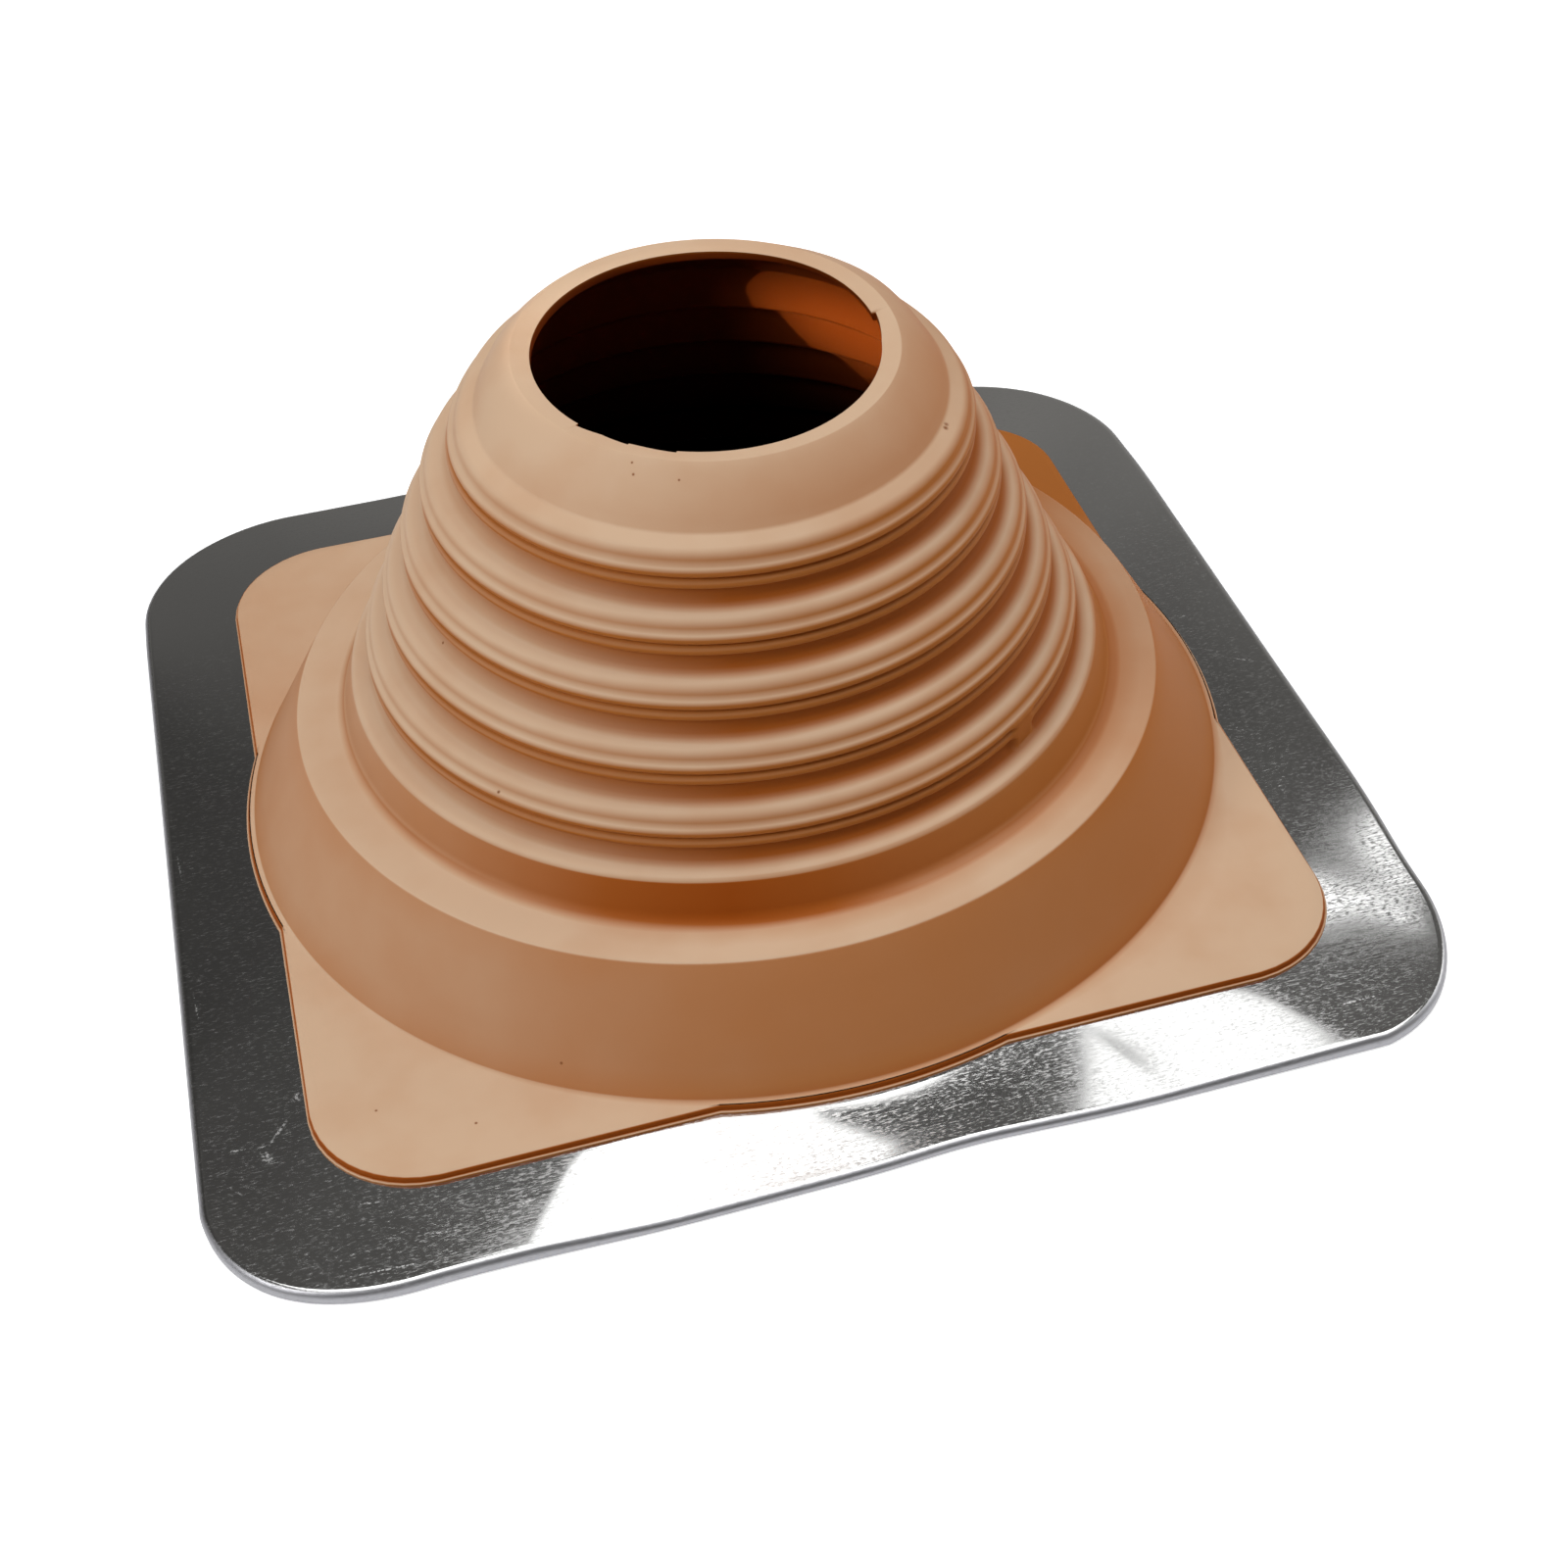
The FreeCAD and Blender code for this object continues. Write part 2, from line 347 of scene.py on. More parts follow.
# Slope of the tab's top, where above the knife line that starts and ends, and how far below the hollow its foot is
TAB_SLOPE, TAB_BEND, TAB_TOP, TAB_BELOW_HOLLOW = 1.0, 1.5, 5.2, 0.2

# Degrees between the mesh's columns, how near to an extra one they are left out, and half a trim cut's step
COLUMN_TURN, COLUMN_CLEAR, CUT_TURN = 1.2, radians(0.3), radians(0.08)


def boot_columns(s):
    """Gives the angles of the mesh's columns, with extra ones at the pad's corners, the tab and the trim cuts."""
    even = np.radians(np.arange(0, 360, COLUMN_TURN))
    kink = acos(s.pad_half / s.pad_bulge_r)
    tangent = atan2(s.pad_half - s.pad_corner_r, s.pad_half)
    half_tab = asin(s.tab_width / 2 / s.tab_r)
    turns = [(quarter * pi / 2, turn) for quarter in range(4) for turn in (kink, tangent)]
    turns += [(s.tab_angle, half_tab + TAB_EASE * share) for share in (0, 0.5, 1)]
    turns += [(radians(step), CUT_TURN) for step, _, _ in TRIM_CUTS]
    extra = np.mod([middle + side * turn for middle, turn in turns for side in (-1, 1)], 2 * pi)
    kept = [a for a in even if np.min(np.abs(np.angle(np.exp(1j * (extra - a))))) > COLUMN_CLEAR]
    return np.sort(np.concatenate([kept, extra]))


# Shares of open sky at which a wall lies closed and open, and step of the search in degrees
SKY_CLOSED, SKY_OPEN, SKY_STEP = 0.4, 0.8, 5.0


def open_sky(path):
    """Gives, for each point of an outline, the share of the half circle above it that the outline doesn't block."""
    points = np.array(path)
    directions = np.arange(SKY_STEP / 2, 180, SKY_STEP)
    shares = []
    for i, (r, z) in enumerate(points):
        seen = np.degrees(np.arctan2(points[:, 1] - z, points[:, 0] - r))
        low, high = np.minimum(seen[:-1], seen[1:]), np.maximum(seen[:-1], seen[1:])
        blocks = high - low < 180
        blocks[max(0, i - 1):i + 1] = False
        covered = (directions[:, None] > low[blocks]) & (directions[:, None] < high[blocks])
        shares.append(1 - covered.any(axis=1).mean())
    return np.array(shares)


# How far below a knife line its beads and the ledge under its hollow end, in mm
BEADS_END, LEDGE_END = 2.9, 9

# How open a hollow lies at least, and over which shares of its ledge's width it opens up
HOLLOW_OPEN, LEDGE_FROM, LEDGE_OVER = 0.25, 0.1, 0.65

# How much more open a lower bead lies, the share of the bloom and painted light that it keeps, and half its groove's
# width in mm
BEAD_OPEN, BEAD_BLOOM_AND_LIGHT, GROOVE = 0.4, 0.6, 0.3

# How open the skirt's foot lies, and over how many mm the skirt and the shelf open up
FOOT_OPEN, CORNER_REACH = 0.5, 4

# Share of the bloom and painted light that stays on the waist and the skirt
WAIST_BLOOM_AND_LIGHT, SKIRT_BLOOM_AND_LIGHT = 0.7, 0.3

# How much further the bloom and painted light reach into the hollows on the lit side, lightening their painted shade,
# and that side's direction in degrees
REACH_SIDE, REACH_TOWARDS = 0.55, 170

# How open the waist and the shelf's inner edge lie at the sides, which lightens their painted shade there, and the
# direction in degrees where the waist has its full painted shade
REACH_WAIST, REACH_SHELF, WAIST_FULL_SHADE = 0.95, 0.45, -105

# Places with more or less bloom and painted light, each as a hill; the first paints the cone's shadow on the pad
# behind it
PAINTED_LIGHT_PATCHES = (
    (42, 0, -1.3, 34, 75), (-160, 17, 0.38, 40, 12), (-5, 17, 0.8, 35, 12), (152, 4, -0.3, 30, 7),
    (-22, 31, -0.6, 32, 6), (-134, 17, 0.28, 22, 12), (-62, 17, 0.26, 18, 12),
)


def hill(place, around, heights):
    """Gives a hill's rise at each angle and height. Its place is its direction in degrees, its height in mm, its
    size, and its reach round in degrees and up in mm."""
    direction, height, size, reach, rise = place
    turn = (around - direction + 180) % 360 - 180
    return size * np.exp(-(turn / reach) ** 2 - ((heights - height) / rise) ** 2)


def below_plain_ridge(r, z, s):
    """Tells whether a point of the outside lies on the waist or further down."""
    return r > s.plain_r - 0.3 and z < s.plain_z - 1


def painted_shade_and_bloom_marks(outside, s):
    """Gives, for each ring of the outside, how open it lies, which sets its painted shade, and how much bloom and
    painted light it keeps.
    """
    openness = np.clip((open_sky(outside) - SKY_CLOSED) / (SKY_OPEN - SKY_CLOSED), 0, 1)
    kept = np.ones(len(outside))
    ledge = s.guide_out - RIDGE_IN - HOLLOW_OUT
    for i, (r, z) in enumerate(outside):
        for guide_r, guide_z in guide_places(s):
            across = r - guide_r - HOLLOW_OUT
            if guide_z - LEDGE_END < z < guide_z - BEADS_END and across < ledge:
                openness[i] = min(1, max(HOLLOW_OPEN, (across / ledge - LEDGE_FROM) / LEDGE_OVER))
            elif guide_z - BEADS_END <= z < guide_z and r < guide_r + s.bead_r + 1:
                openness[i] = min(1, openness[i] + BEAD_OPEN)
                kept[i] = BEAD_BLOOM_AND_LIGHT * min(1, max(0, guide_z - z - GROOVE))
        if z > s.collar_z:
            openness[i] = 1
        elif r > s.shelf_outer_r:
            openness[i] = min(1, FOOT_OPEN + abs(r - s.foot_r) / CORNER_REACH)
            kept[i] = SKIRT_BLOOM_AND_LIGHT if z > s.pad_top + 0.3 else 1
        elif r > s.shelf_inner_r:
            openness[i] = min(1, (r - s.shelf_inner_r) / CORNER_REACH)
        elif below_plain_ridge(r, z, s):
            openness[i], kept[i] = 0, WAIST_BLOOM_AND_LIGHT
    return openness, kept


def outside_rows(outside, s, angles):
    """Lists the rings of the outside with the tab's face on them, and how far the tab covers each of them."""
    guide_z = guide_places(s)[-1][1]
    turn = np.angle(np.exp(1j * (angles - s.tab_angle)))
    half_tab = asin(s.tab_width / 2 / s.tab_r)
    on_tab = np.clip((half_tab + TAB_EASE - np.abs(turn)) / TAB_EASE, 0, 1)
    flat = s.tab_r / np.cos(np.where(on_tab > 0, turn, 0))
    rows = list(outside)
    cover = np.zeros((len(outside), len(angles)))
    for i, (r, z) in enumerate(outside):
        if guide_z - HOLLOW_DOWN - TAB_BELOW_HOLLOW < z < guide_z + TAB_TOP:
            face = flat - TAB_SLOPE * max(0, z - guide_z - TAB_BEND)
            cover[i] = np.where(face > r, on_tab, 0)
            rows[i] = (r + (face - r) * cover[i], z)
    return rows, cover


# Heights of the sheet's upper and lower face and of the flash on it, in mm
SHEET_TOP, SHEET_UNDER, FLASH_TOP = 3.0, 2.0, 3.45

# How far out from the skirt's foot the pad's top starts, in mm, and where its rings lie as shares of its width
PAD_START, PAD_SHARES = 1.2, (0.3, 0.6, 0.9)

# Rounded edges of the pad and its flash: how far out from the edge and down from the top each ring lies, in mm
PAD_EDGE, FLASH_EDGE, FLASH_ROOT = ((-0.45, 0.0), (-0.13, 0.13), (0.0, 0.45)), ((-0.1, 0.02), (0.0, 0.12)), 0.05


def pad_outline(s, angles):
    """Gives the distance from the axis to the pad's edge, at each angle."""
    return np.maximum(rounded_square(s.pad_half, s.pad_corner_r, angles), s.pad_bulge_r)


def pad_rows(s, angles):
    """Lists the rings of the pad's top and edge, of its flash and of the slot that holds the sheet."""
    edge = pad_outline(s, angles)
    flash = edge + s.flash
    start = s.foot_r + PAD_START
    rows = [(start + (edge + PAD_EDGE[0][0] - start) * share, s.pad_top) for share in PAD_SHARES]
    rows += [(edge + out, s.pad_top - down) for out, down in PAD_EDGE]
    rows.append((edge + FLASH_ROOT, FLASH_TOP))
    rows += [(flash + out, FLASH_TOP - down) for out, down in FLASH_EDGE]
    return rows + [(flash, SHEET_TOP), (s.hole_r, SHEET_TOP), (s.hole_r, SHEET_UNDER)]


# Width of the two ribs under the grip ring and height of the relief between them, in mm
RIB, RELIEF = 3.0, 0.9


def grip_ring_rows(s):
    """Lists the rings of the ribbed ring that grips the sheet from below."""
    outer, inner = s.ring_r - RIB, s.throat_r + RIB
    return rounded([(s.hole_r + 1, SHEET_UNDER, *SHARP), (s.ring_r, SHEET_UNDER, *RING_ROUND),
                    (s.ring_r, 0.0, *RIB_ROUND), (outer, 0.0, *RIB_ROUND), (outer, RELIEF, *RELIEF_ROUND),
                    (inner, RELIEF, *RELIEF_ROUND), (inner, 0.0, *RIB_ROUND), (s.throat_r, 0.0, *RIB_ROUND),
                    (s.throat_r, SHEET_TOP, *SHARP)])


def beyond(start, end):
    """Gives the point as far past the end of a line as its start lies before it."""
    return 2 * end[0] - start[0], 2 * end[1] - start[1]


def inside_rows(plain, s):
    """Lists the rings of the inside, from the throat up to the opening, one wall's thickness in from the outside."""
    wall = inset(plain, s.wall)
    skirt_foot = inset([plain[-2], plain[-1], beyond(plain[-2], plain[-1])], s.wall)[0]
    collar_top = inset([beyond(plain[1], plain[0]), plain[0], plain[1]], s.wall)[0]
    share = (skirt_foot[0] - s.throat_r) / (skirt_foot[0] - wall[-1][0])
    corners = [(s.throat_r, SHEET_TOP, *SHARP),
               (s.throat_r, skirt_foot[1] + (wall[-1][1] - skirt_foot[1]) * share, *THROAT_ROUND)]
    corners += [(r, z, *STEP_ROUND) for r, z in reversed(wall)]
    lip_under = s.opening_z - s.lip_drop
    share = (lip_under - wall[0][1]) / (collar_top[1] - wall[0][1])
    corners += [(wall[0][0] + (collar_top[0] - wall[0][0]) * share, lip_under, *COLLAR_TOP_ROUND),
                (s.opening_r, lip_under, *LIP_UNDER_ROUND), (s.opening_r, s.opening_z - 0.6, *SHARP)]
    return rounded(corners)[1:]


# How open the pad's edge and the tab's face lie, which sets their painted shade, and the share of bloom and painted
# light that the tab loses
PAD_EDGE_OPEN, TAB_OPEN, TAB_LOSS = 0.1, 0.6, 0.8


def side_openness(outside, s, angles):
    """Gives how open the waist and the shelf's inner edge lie at least, on each ring and at each angle, so that their
    painted shade is lighter at the sides.
    """
    sides = REACH_WAIST * np.abs(np.sin(angles - radians(WAIST_FULL_SHADE)))
    least = np.zeros((len(outside), len(angles)))
    for i, (r, z) in enumerate(outside):
        if below_plain_ridge(r, z, s) and r < s.shelf_outer_r:
            least[i] = np.minimum(sides, REACH_WAIST if r < s.shelf_inner_r - 0.5 else REACH_SHELF)
    return least


def boot_rows(s, angles):
    """Lists the rings of the whole moulding, with the marks that its material reads."""
    corners, plain = boot_outside(s)
    outside = rounded(corners + [(s.foot_r + PAD_START, s.pad_top, *SHARP)])
    count = len(outside)
    rows, cover = outside_rows(outside, s, angles)
    rows += pad_rows(s, angles) + grip_ring_rows(s)
    outer_count = len(rows)
    rows += inside_rows(plain, s)
    inside = np.arange(len(rows)) >= outer_count
    # Openness sets how much painted shade each ring gets; the bloom mark sets how much bloom and painted light it
    # keeps
    openness, kept = np.ones((2, len(rows)))
    openness[:count], kept[:count] = painted_shade_and_bloom_marks(outside, s)
    pad_edge = count + len(PAD_SHARES)
    openness[pad_edge + 1:pad_edge + len(PAD_EDGE) + 1] = PAD_EDGE_OPEN
    facing = np.maximum(np.cos(angles - radians(REACH_TOWARDS)), 0)
    further = np.where(np.arange(len(rows)) < pad_edge, REACH_SIDE, 0)
    openness = openness[:, None] + further[:, None] * facing
    openness[:count] = np.maximum(openness[:count], side_openness(outside, s, angles))
    openness = np.clip(openness, 0, 1)
    openness[:count] += (TAB_OPEN - openness[:count]) * cover
    kept = np.repeat(kept[:, None], len(angles), axis=1)
    kept[:count] *= 1 - TAB_LOSS * cover
    heights = np.array([np.mean(z) for _, z in rows])[:, None]
    for patch in PAINTED_LIGHT_PATCHES:
        kept += hill(patch, np.degrees(angles), heights)
    return rows, {"inside": inside, "open": openness, "bloom": np.clip(kept, 0, 1)}


def leaned(places, s):
    """Tips the soft cone over slightly, more and more towards its top."""
    back = np.array([-sin(s.lean_from), cos(s.lean_from)])
    side = np.array([cos(s.lean_from), sin(s.lean_from)])
    rise = s.opening_z - 1.1 - s.shelf_outer_z
    share = np.clip((places[..., 2] - s.shelf_outer_z) / rise, 0, None)
    depth = places[..., :2] @ back
    width = places[..., :2] @ side
    tipped = places.copy()
    tipped[..., 2] += depth * np.tan(s.lean_back * share) + width * np.tan(s.lean_side * share)
    for amount, way in ((s.lean_back, back), (s.lean_side, side)):
        tipped[..., :2] -= (0.5 * amount * share ** 2 * rise)[..., None] * way
    return tipped


# Places where the soft cone stands out or lies back, each as a hill in mm
PUSHES = ((38, 113.0, 3.0, 30, 4.5), (155, 105.0, -2.8, 34, 7.0))


def pushed(places):
    """Moves the cone's outside in or out at each of the places where it isn't quite round."""
    around = np.degrees(np.arctan2(places[..., 1], places[..., 0]))
    out = sum(hill(place, around, places[..., 2]) for place in PUSHES)
    radius = np.hypot(places[..., 0], places[..., 1])
    moved = places.copy()
    moved[..., :2] *= (1 + out / radius)[..., None]
    return moved


# Marks where the opening was trimmed: direction of each step in degrees, its depth in mm, and where it runs out
TRIM_CUTS = ((5.0, 1.0, -12.0), (-147.5, 0.8, -138.0), (-128.0, 0.45, -138.0), (-112.5, 0.5, -124.0))

# How far the trim cuts reach into the lip and below it, in mm
TRIM_OUT, TRIM_BELOW = 2.5, 1


def trimmed(places, s):
    """Widens the edge of the opening a little at each trim cut."""
    around = np.degrees(np.arctan2(places[..., 1], places[..., 0]))
    radius = np.hypot(places[..., 0], places[..., 1])
    depth = np.zeros(radius.shape)
    for step, jump, end in TRIM_CUTS:
        along = (around - end) / (step - end)
        depth += np.where((along > 0) & (along <= 1), jump * along, 0)
    low = s.opening_z - s.lip_drop - TRIM_BELOW
    near = np.clip(1 - (radius - s.opening_r) / TRIM_OUT, 0, 1) * (places[..., 2] > low)
    cut = places.copy()
    cut[..., :2] *= (1 + depth * near / radius)[..., None]
    return cut


def keep_in_box(places):
    """Holds points inside the CAD model's box."""
    low, high = (np.array(corner) / MM for corner in CAD_BOX)
    return np.clip(places, low, high)


def add_node(tree, kind, links=None, give=0, **settings):
    """Adds a node with its settings, gives each named input a value or a link, and returns one of its outputs."""
    item = tree.nodes.new(kind)
    for name, value in settings.items():
        setattr(item, name, value)
    for socket, source in (links or {}).items():
        if isinstance(source, bpy.types.NodeSocket):
            tree.links.new(source, item.inputs[socket])
        else:
            item.inputs[socket].default_value = source
    return item.outputs[give] if item.outputs else None


def new_material(name):
    """Makes an empty node material."""
    material = bpy.data.materials.new(name)
    material.use_nodes = True
    material.node_tree.nodes.clear()
    return material, material.node_tree


def per(millimetres):
    """Gives the texture scale that makes one feature this many millimetres wide."""
    return 1 / (millimetres * MM)


# Direction that the painted light and bloom come from: above, and a little from the left
PAINTED_LIGHT_FROM = (-0.295, 0.05, 0.95)

# Dark specks and nicks in the rubber: the place and the size across of each, in mm
SPECKS = (
    ((46.3, -31.0, 104.2), 1.6), ((47.0, -30.0, 104.8), 1.6), ((-22.8, -38.7, 115.7), 0.7),
    ((-23.1, -40.6, 114.1), 0.8), ((-14.6, -44.9, 113.6), 0.7), ((-61.8, -97.5, 9.6), 0.9),
    ((-62.2, -54.6, 50.5), 1.0), ((-66.6, -23.7, 69.1), 0.9), ((-81.8, -104.0, 4.8), 0.9),
    ((-101.5, -94.0, 4.8), 0.8),
)

# Scuffs and scratches on the sheet: the middle, length and width of each in mm, and its direction in degrees
SCUFFS = (
    ((-117.3, -83.3), 4.4, 2.8, 70), ((-122.2, -92.0), 12.4, 1.0, 54), ((-125.2, -98.2), 5.2, 3.2, -64),
    ((-131.5, -94.2), 9.4, 0.7, -10), ((-125.5, -94.9), 3.0, 0.6, 4), ((-132.0, -105.2), 5.4, 0.7, -52),
    ((-75.4, -126.4), 5.0, 0.6, 6), ((-67.5, -128.5), 2.8, 0.6, 25), ((-94.3, -128.5), 9.6, 0.6, -7),
    ((-106.2, -116.7), 6.4, 0.6, -9), ((107.6, -128.2), 14.6, 0.7, 0), ((123.6, 11.7), 5.0, 0.6, -14),
    ((132.1, -10.6), 7.2, 0.6, -31), ((137.1, 34.0), 9.2, 0.6, 81), ((-136.9, -2.0), 10.8, 0.6, -87),
    ((-136.3, -49.7), 11.6, 0.6, -86), ((-104.5, -134.4), 17.2, 0.7, -4),
)

# Height of each scuff's ellipsoid in mm, so great that only the place on the sheet counts
SCUFF_DEPTH = 1000


def spots(tree, place, spans):
    """Gives 1 within each listed (middle, sizes across, direction) ellipsoid and 0 away from them."""
    level = 0.0
    for middle, sizes, direction in spans:
        local = add_node(tree, "ShaderNodeMapping", {
            "Vector": place, "Location": tuple(value * MM for value in middle),
            "Rotation": (0, 0, radians(direction)), "Scale": tuple(value * MM / 2 for value in sizes)},
            vector_type="TEXTURE")
        away = add_node(tree, "ShaderNodeVectorMath", {0: local}, operation="LENGTH", give="Value")
        spot = add_node(tree, "ShaderNodeMapRange", {0: away, 1: 1.0, 2: 0.3})
        level = add_node(tree, "ShaderNodeMath", {0: spot, 1: level}, operation="MAXIMUM")
    return level


def moulded_silicone_rubber(finish):
    """Silicone rubber from a mould: matt and warm, with painted shade in its hollows and inside, and chalky with bloom
    that is partly painted light on faces that look up and to the left.
    """
    material, tree = new_material("moulded_silicone_rubber")
    place = add_node(tree, "ShaderNodeTexCoord", give="Object")
    normal = add_node(tree, "ShaderNodeNewGeometry", give="Normal")
    # Painted light: the bloom colour goes on faces that turn up and a little to the left, towards the light, as far as
    # the marks on the mesh let it
    lit = add_node(tree, "ShaderNodeVectorMath", {0: normal, 1: PAINTED_LIGHT_FROM}, operation="DOT_PRODUCT", give="Value")
    cloud = add_node(tree, "ShaderNodeTexNoise", {"Vector": place, "Scale": per(22), "Detail": 3.0})
    patchy = add_node(tree, "ShaderNodeMapRange", {0: cloud, 1: 0.3, 2: 0.7, 3: 0.85, 4: 1.1})
    level = add_node(tree, "ShaderNodeMapRange", {0: lit, 1: 0.15, 2: 0.84})
    openness, kept, inside = (add_node(tree, "ShaderNodeAttribute", attribute_name=mark, give="Fac")
                              for mark in ("open", "bloom", "inside"))
    reach = add_node(tree, "ShaderNodeMapRange", {0: openness, 1: 0.25, 2: 0.95})
    for share in (reach, kept):
        level = add_node(tree, "ShaderNodeMath", {0: level, 1: share}, operation="MULTIPLY")
    amount = add_node(tree, "ShaderNodeMath", {0: level, 1: patchy}, operation="MULTIPLY", use_clamp=True)
    # Painted shade: places that lie closed keep the hollow colour, open ones get the rubber's
    open_face = add_node(tree, "ShaderNodeMapRange", {0: openness, 2: 0.7})
    speck = spots(tree, place, [(middle, (across,) * 3, 0) for middle, across in SPECKS])
    outer = finish.hollow
    for share, above in ((open_face, finish.rubber), (amount, finish.bloom), (speck, finish.speck)):
        outer = add_node(tree, "ShaderNodeMix", {"Factor": share, "A": outer, "B": above},
                         data_type="RGBA", give="Result")
    # Painted shade inside the cone: the inside colour darkens from 90 mm high down to 55 mm
    height = add_node(tree, "ShaderNodeSeparateXYZ", {0: place}, give="Z")
    down = add_node(tree, "ShaderNodeMapRange", {0: height, 1: 0.090, 2: 0.055})
    core = add_node(tree, "ShaderNodeMix", {"Factor": down, "A": finish.core, "B": finish.depth},
                    data_type="RGBA", give="Result")
    tone = add_node(tree, "ShaderNodeMix", {"Factor": inside, "A": outer, "B": core}, data_type="RGBA", give="Result")
    grain = add_node(tree, "ShaderNodeTexNoise", {"Vector": place, "Scale": per(0.6), "Detail": 2.0})
    bump = add_node(tree, "ShaderNodeBump", {"Height": grain, "Strength": 0.35, "Distance": 0.05 * MM})
    shader = add_node(tree, "ShaderNodeBsdfPrincipled", {
        "Base Color": tone, "Roughness": 0.55, "IOR": 1.17, "Normal": bump})
    add_node(tree, "ShaderNodeOutputMaterial", {"Surface": shader})
    return material


def rolled_aluminium(finish):
    """Soft aluminium sheet as it leaves the rolls: bare and bright, with fine lines one way, and its rim painted
    darker, as painted shade.
    """
    material, tree = new_material("rolled_soft_aluminium")
    place = add_node(tree, "ShaderNodeTexCoord", give="Object")
    stretched = add_node(tree, "ShaderNodeMapping", {"Vector": place, "Scale": (0.03, 1.0, 1.0)})
    lines = add_node(tree, "ShaderNodeTexNoise", {"Vector": stretched, "Scale": per(0.5), "Detail": 3.0})
    dashed = add_node(tree, "ShaderNodeMapping", {"Vector": place, "Scale": (0.3, 1.0, 1.0)})
    flecks = add_node(tree, "ShaderNodeTexNoise", {"Vector": dashed, "Scale": per(0.36), "Detail": 2.0})
    flecks = add_node(tree, "ShaderNodeMapRange", {0: flecks, 1: 0.5, 2: 0.75, 4: 0.18})
    rough = add_node(tree, "ShaderNodeMapRange", {0: lines, 1: 0.3, 2: 0.7, 3: 0.05, 4: 0.1})
    scuff = spots(tree, place, [((*middle, 0), (long, wide, SCUFF_DEPTH), direction)
                                for middle, long, wide, direction in SCUFFS])
    broken = add_node(tree, "ShaderNodeTexNoise", {"Vector": place, "Scale": per(0.7), "Detail": 1.0})
    broken = add_node(tree, "ShaderNodeMapRange", {0: broken, 1: 0.44, 2: 0.56, 4: 0.24})
    scuff = add_node(tree, "ShaderNodeMath", {0: scuff, 1: broken}, operation="MULTIPLY")
    rim = add_node(tree, "ShaderNodeAttribute", attribute_name="rim", give="Fac")
    # Painted shade: the rim takes the darker rim colour, and it is rougher too
    tone = add_node(tree, "ShaderNodeMix", {"Factor": rim, "A": finish.metal, "B": finish.rim},
                    data_type="RGBA", give="Result")
    dull = add_node(tree, "ShaderNodeMapRange", {0: rim, 4: 0.38})
    for more in (flecks, scuff, dull):
        rough = add_node(tree, "ShaderNodeMath", {0: rough, 1: more}, operation="ADD")
    bump = add_node(tree, "ShaderNodeBump", {"Height": lines, "Strength": 0.07, "Distance": 0.01 * MM})
    shader = add_node(tree, "ShaderNodeBsdfPrincipled", {
        "Metallic": 1.0, "Base Color": tone, "Roughness": rough, "Normal": bump})
    add_node(tree, "ShaderNodeOutputMaterial", {"Surface": shader})
    return material


class FLASHING_OT_make_boot(bpy.types.Operator):
    """Makes the rubber boot with its collar, cut guides, skirt, pad and grip ring"""
    bl_idname = "flashing.make_boot"
    bl_label = "Make rubber boot"

    def execute(self, context):
        s = in_millimetres(context.scene.flashing_boot)
        angles = boot_columns(s)
        rows, marks = boot_rows(s, angles)
        places = ring_points(rows, angles)
        places = leaned(pushed(trimmed(places, s)), s)
        piece = mesh_object("silicone_boot", keep_in_box(places), 50, marks)
        piece.data.materials.append(moulded_silicone_rubber(context.scene.flashing_finish))
        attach(piece, "root")
        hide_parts(BOOT)
        return {"FINISHED"}


# How the sheet's soft border rises and falls: direction of each place in degrees, lift in mm and reach in degrees
BORDER_LIFTS = ((-150, 0.2, 10), (-37, -0.2, 6), (-20, 0.3, 10), (60, 0.4, 14), (110, -0.3, 14), (150, 0.4, 14))

# How far the sheet's hand-bent edge stands outside its true outline: direction in degrees and offset in mm
EDGE_OFFSETS = (
    (-146, 0.0), (-137, 3.0), (-131, 1.9), (-127, -0.7), (-121, -1.2), (-110, 0.0), (-92, -0.4), (-83, -1.8),
    (-70, 0.0), (-60, 0.0), (-53, 1.7), (-47, 2.2), (-42, 0.0), (-35, -1.7), (-26, 0.0), (30, 0.0), (41, -2.5),
    (50, -2.5), (58, 0.0), (100, 0.0), (116, -2.5), (130, -3.4), (140, -1.3), (146, 0.0),
)


def edge_offset(angles):
    """Gives how far the edge stands out at each angle, with the kinks between the listed places eased."""
    directions, offsets = zip(*EDGE_OFFSETS)
    eased = [np.interp(np.degrees(angles) + shift, directions, offsets, period=360) for shift in range(-3, 4)]
    return np.mean(eased, axis=0)


# How far the front border droops from the pad's edge to the rim, in mm, and over which directions in degrees
DROOP, DROOP_FROM, DROOP_TO = 0.9, -114, -60
DROOP_EASE_FROM, DROOP_EASE_TO = 9, 14


def droop(angles):
    """Gives the droop of the sheet's border at each angle."""
    turn = np.degrees((angles + pi) % (2 * pi) - pi)
    inside = np.minimum((turn - DROOP_FROM) / DROOP_EASE_FROM, (DROOP_TO - turn) / DROOP_EASE_TO) + 0.5
    return DROOP * np.clip(inside, 0, 1)


def border_lift(angles):
    """Gives the lift of the sheet's edge at each angle."""
    return sum(hill((direction, 0, rise, reach, 1), np.degrees(angles), 0) for direction, rise, reach in BORDER_LIFTS)


# Degrees between the sheet's columns, and numbers of rings on its border, its bend and its underside
SHEET_TURN, BORDER_STEPS, BEND_STEPS, UNDER_STEPS = 0.6, 40, 8, 5

# The rim's rounded foot: how far in from the outside and how high each of its rings lies, in mm
RIM_FOOT = ((0.05, 0.25), (0.25, 0.05), (0.5, 0.0))

# How fast the border rises and falls towards the edge, and how far out from the flash it starts to, in mm
RISE_POWER, FLASH_CLEAR = 1.4, 0.5


